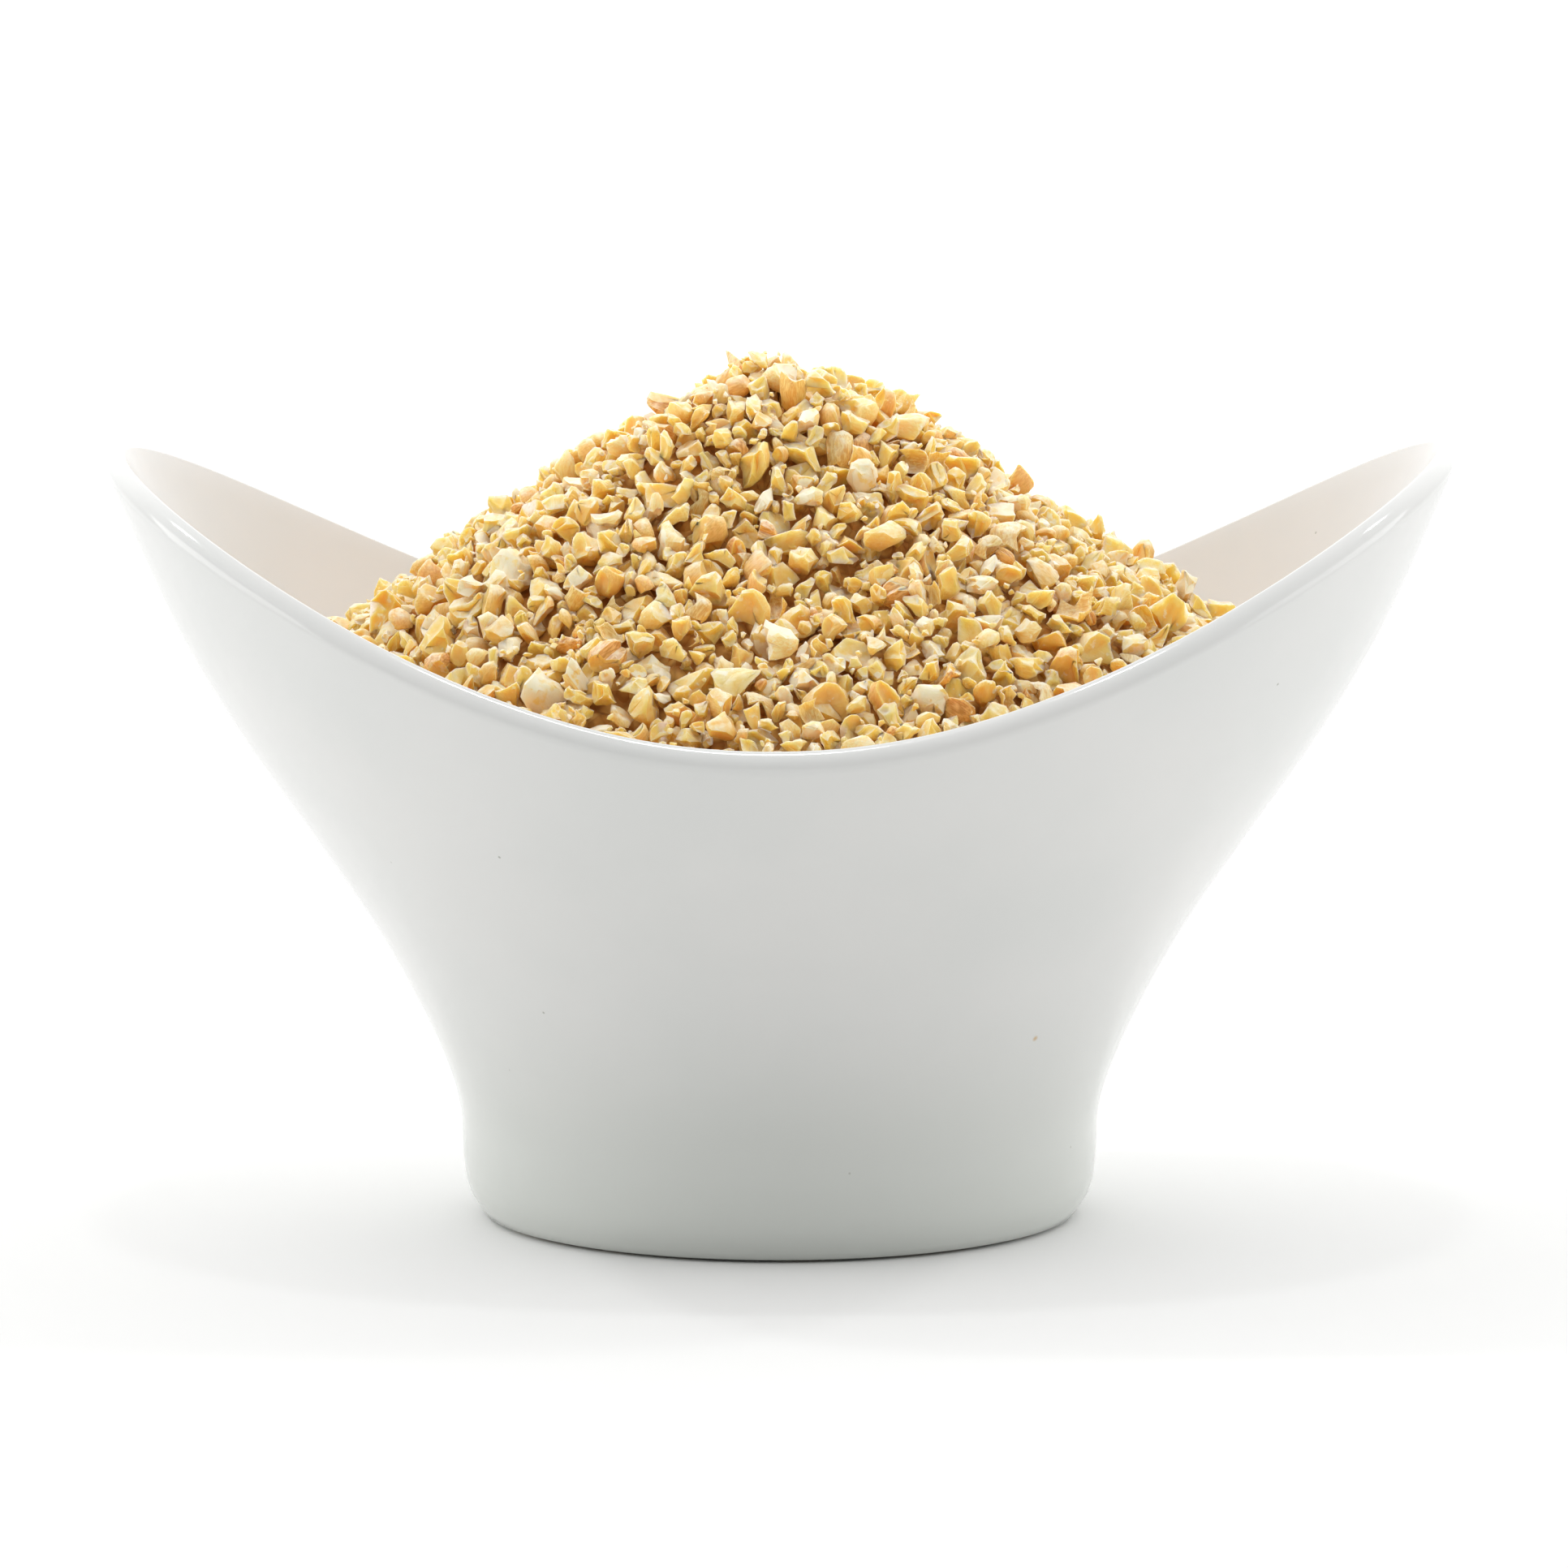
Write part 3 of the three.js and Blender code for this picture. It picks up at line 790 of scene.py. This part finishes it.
def kernel_body():
    """A wheat kernel of unit half sizes along x, with its crease on top."""
    body = bmesh.new()
    rings = []
    for x in -np.cos(np.linspace(0, math.pi, CREASE_STATIONS + 2)[1:-1]):
        around = np.linspace(0, 2 * math.pi, CREASE_ROUND, endpoint=False) + math.pi / 2
        radius = (1 - abs(x) ** 2.3) ** 0.5 * np.where(np.arange(CREASE_ROUND) == 0, 1 - CREASE_DEPTH, 1.0)
        rings.append([body.verts.new((x, r * math.cos(a), r * math.sin(a))) for r, a in zip(radius, around)])
    for ring, following in zip(rings, rings[1:]):
        for i in range(CREASE_ROUND):
            j = (i + 1) % CREASE_ROUND
            body.faces.new((ring[i], following[i], following[j], ring[j]))
    for ring, tip in ((rings[0], -1.0), (rings[-1], 1.0)):
        end = body.verts.new((tip, 0, 0))
        for i in range(CREASE_ROUND):
            body.faces.new((ring[i], ring[(i + 1) % CREASE_ROUND], end))
    bmesh.ops.recalc_face_normals(body, faces=body.faces)
    return body


def creased_grain(random, **breaks):
    return broken_grain(random, body=kernel_body(), **breaks)


creased_random = np.random.default_rng(26)
lay(
    "creased_halves",
    list(islice(free_places, int(CREASED_SHARE * len(grain_places)))),
    grain_shapes(creased_random, creased_grain, cuts=(2, 3), depth=(0.1, 0.6), scoop=(0.0, 0.6), rough=0.1),
    creased_random,
    grain_finish(
        "creased_wheat",
        flesh=((248, 192, 96), (252, 209, 125), (255, 224, 164)),
        flour=0.3,
        skin=((206, 147, 80), (242, 195, 124)),
        glow=0.9,
        gloss=0.5,
    ),
    size=1.15,
)

# ---------------------------------------------------------------------------------------------------------
# Bran flakes
#
# Thin curled scraps of skin that have come off the kernels.
# ---------------------------------------------------------------------------------------------------------

FLAKE_STEPS = (6, 4)


def flake(random):
    """A thin curled scrap of unit half sizes."""
    scrap = bmesh.new()
    bmesh.ops.create_grid(scrap, x_segments=FLAKE_STEPS[0], y_segments=FLAKE_STEPS[1], size=1.0)
    where = Vector(random.uniform(-50, 50, 3))
    for point in scrap.verts:
        point.co.xy *= 1 + 0.35 * noise.noise(point.co * 1.1 + where)
        point.co.z = 0.55 * point.co.y**2 + 0.35 * point.co.x**2 + 0.25 * noise.noise(point.co * 1.7 + where)
    thick = bmesh.ops.extrude_face_region(scrap, geom=scrap.faces[:])
    for point in (part for part in thick["geom"] if isinstance(part, bmesh.types.BMVert)):
        point.co.z += 0.16
    bmesh.ops.recalc_face_normals(scrap, faces=scrap.faces)
    bmesh.ops.triangulate(scrap, faces=scrap.faces)
    scrap.verts.index_update()
    points = np.array([point.co for point in scrap.verts])
    faces = np.array([[point.index for point in face.verts] for face in scrap.faces])
    scrap.free()
    low, high = points.min(0), points.max(0)
    return (points - (low + high) / 2) / ((high - low) / 2), faces, np.ones(len(faces))


flake_random = np.random.default_rng(27)
lay(
    "bran_flakes",
    list(free_places),
    grain_shapes(flake_random, flake),
    flake_random,
    grain_finish(
        "bran",
        flesh=((246, 188, 96), (253, 213, 131), (255, 228, 168)),
        flour=0.3,
        skin=((230, 177, 105), (253, 217, 153)),
        glow=0.8,
        gloss=0.55,
    ),
)

# ---------------------------------------------------------------------------------------------------------
# Crumbs
#
# Bits of flesh, down to half a millimetre, that lie on the larger grains and in the gaps.
# ---------------------------------------------------------------------------------------------------------

CRUMBS_POURED = 1000
CRUMB_HALF_LENGTH = 0.55
CRUMB_HALF_LENGTH_RANGE = (0.3, 0.95)
CRUMB_CORNERS = 11
CRUMB_HIGHEST_ABOVE = 1.6
CRUMB_SPOTS_TRIED = 4


def crumb(random):
    bit = bmesh.new()
    for corner in random.normal(size=(CRUMB_CORNERS, 3)):
        bit.verts.new(corner / np.linalg.norm(corner) * random.uniform(0.75, 1.0))
    hull = bmesh.ops.convex_hull(bit, input=bit.verts)
    bmesh.ops.delete(bit, geom=hull["geom_interior"], context="VERTS")
    bit.verts.index_update()
    points = np.array([point.co for point in bit.verts])
    faces = np.array([[point.index for point in face.verts] for face in bit.faces])
    bit.free()
    return points, faces, np.zeros(len(faces))


crumb_random = np.random.default_rng(28)
lay(
    "crumbs",
    pour(
        crumb_random,
        grain_sizes(crumb_random, CRUMBS_POURED, CRUMB_HALF_LENGTH, CRUMB_HALF_LENGTH_RANGE),
        CRUMB_SPOTS_TRIED,
        1,
        CRUMB_HIGHEST_ABOVE,
    ),
    grain_shapes(crumb_random, crumb),
    crumb_random,
    grain_finish(
        "wheat_crumbs",
        flesh=((252, 208, 118), (255, 221, 149), (255, 231, 180)),
        flour=0.6,
        skin=((250, 205, 125), (254, 219, 149)),
        glow=0.7,
        gloss=0.6,
    ),
)

# ---------------------------------------------------------------------------------------------------------
# The floor
#
# A pale, plain studio floor that runs far back, so that it fills the view behind the bowl.
# ---------------------------------------------------------------------------------------------------------

FLOOR_HALF_SIZE = 40.0  # metres
SWEEP_NEAR, SWEEP_FAR = 0.35, 1.6  # metres from the bowl, between which the floor fades into a glow of its own, a painted light
SWEEP_GLOW = 0.3

floor_mesh = bpy.data.meshes.new("floor")
floor_mesh.from_pydata(
    [(x * FLOOR_HALF_SIZE, y * FLOOR_HALF_SIZE, 0) for x, y in ((-1, -1), (1, -1), (1, 1), (-1, 1))],
    [],
    [(0, 1, 2, 3)],
)
floor = bpy.data.objects.new("floor", floor_mesh)
bpy.context.scene.collection.objects.link(floor)
floor_material, floor_tree, floor_shader = finish("studio_floor")
floor_grain = node(floor_tree, "TexNoise", {"Scale": 900.0, "Detail": 2.0}).outputs["Fac"]
floor_tone = mixed(floor_tree, floor_grain, colour(239, 239, 238), colour(243, 243, 242))
floor_tree.links.new(floor_tone, floor_shader.inputs["Base Color"])
floor_place = node(floor_tree, "TexCoord").outputs["Object"]
floor_away = node(floor_tree, "VectorMath", {0: floor_place}, operation="LENGTH").outputs["Value"]
# Painted light: further from the bowl the floor glows of itself, so that it stays pale far back.
sweep = stepped(floor_tree, floor_away, SWEEP_NEAR, SWEEP_FAR, 0.0, SWEEP_GLOW)
floor_tree.links.new(sweep, floor_shader.inputs["Emission Strength"])
floor_shader.inputs["Emission Color"].default_value = (1, 1, 1, 1)
floor_shader.inputs["Roughness"].default_value = 0.9
floor_mesh.materials.append(floor_material)

# ---------------------------------------------------------------------------------------------------------
# The light
#
# A white room that is brightest above and behind, with a low soft lamp at each side and three spots on the heap.
# ---------------------------------------------------------------------------------------------------------

CEILING_GLOW = 1.25  # the brighter, the higher up
BACK_WALL_GLOW = 1.17  # the brighter, the further behind the bowl

# Place in metres and watts.
SIDE_LAMPS = {"left lamp": ((-1.0, 0.0, 0.25), 2.9), "right lamp": ((1.0, 0.0, 0.25), 2.4)}
SIDE_LAMP_SIZE = (0.9, 0.45)
SIDE_LAMP_AIM = (0, 0, 0.05)

# Soft spots pick out the heap from above and behind, so that light glows through its grains.
SPOTS = {
    "top spot": ((0, 0, 1.1), 8.0),
    "left spot": ((-0.6, 0.3, 0.85), 13.0),
    "right spot": ((0.6, 0.3, 0.85), 8.5),
}
SPOT_AIM = (0, 0, 0.085)
SPOT_SPREAD = math.radians(10)
SPOT_RADIUS = 0.08


def hang(lamp, place, aim):
    holder = bpy.data.objects.new(lamp.name, lamp)
    holder.location = place
    holder.rotation_euler = (Vector(aim) - Vector(place)).to_track_quat("-Z", "Y").to_euler()
    bpy.context.scene.collection.objects.link(holder)


for lamp_name, (place, watts) in SIDE_LAMPS.items():
    lamp = bpy.data.lights.new(lamp_name, "AREA")
    lamp.shape, lamp.energy = "RECTANGLE", watts
    lamp.size, lamp.size_y = SIDE_LAMP_SIZE
    hang(lamp, place, SIDE_LAMP_AIM)

for spot_name, (place, watts) in SPOTS.items():
    spot = bpy.data.lights.new(spot_name, "SPOT")
    spot.spot_size, spot.spot_blend = SPOT_SPREAD, 1.0
    spot.energy, spot.shadow_soft_size = watts, SPOT_RADIUS
    hang(spot, place, SPOT_AIM)

room = bpy.data.worlds.new("white room")
bpy.context.scene.world = room
room.use_nodes = True
towards = node(room.node_tree, "SeparateXYZ", {
    "Vector": node(room.node_tree, "TexCoord").outputs["Generated"],
})
glow = 0.0
for axis, strength in (("Z", CEILING_GLOW), ("Y", BACK_WALL_GLOW)):
    side = node(room.node_tree, "Math", {0: towards.outputs[axis], 1: 0.0}, operation="MAXIMUM").outputs["Value"]
    glow = node(
        room.node_tree, "Math", {0: side, 1: strength, 2: glow}, operation="MULTIPLY_ADD"
    ).outputs["Value"]
room.node_tree.nodes["Background"].inputs["Color"].default_value = (1, 1, 1, 1)
room.node_tree.links.new(glow, room.node_tree.nodes["Background"].inputs["Strength"])

# ---------------------------------------------------------------------------------------------------------
# The camera
#
# Level with the rim and some way off, as in the photo, where the bowl is turned a little to the left.
# ---------------------------------------------------------------------------------------------------------

IMAGE_WIDTH = 1932  # pixels
FOCAL_PIXELS = 8320.0
SENSOR = 36.0
CAMERA_DISTANCE = 800.0
CAMERA_ELEVATION = math.radians(6.48)
CAMERA_TURN = math.radians(0.79)
CAMERA_ASIDE = 0.5
AIM_HEIGHT = 51.15

camera_data = bpy.data.cameras.new("camera")
camera_data.sensor_width = SENSOR
camera_data.lens = SENSOR * FOCAL_PIXELS / IMAGE_WIDTH
camera_data.clip_start, camera_data.clip_end = 0.05, 20.0
camera = bpy.data.objects.new("camera", camera_data)
facing = Matrix.Rotation(CAMERA_TURN, 4, "Z")
aim = facing @ Vector((CAMERA_ASIDE, 0, AIM_HEIGHT)) * MM
back = facing @ Vector((0, -math.cos(CAMERA_ELEVATION), math.sin(CAMERA_ELEVATION)))
camera.location = aim + back * CAMERA_DISTANCE * MM
camera.rotation_euler = (-back).to_track_quat("-Z", "Y").to_euler()
bpy.context.scene.collection.objects.link(camera)
bpy.context.scene.camera = camera
bpy.context.scene.view_settings.view_transform = "Standard"
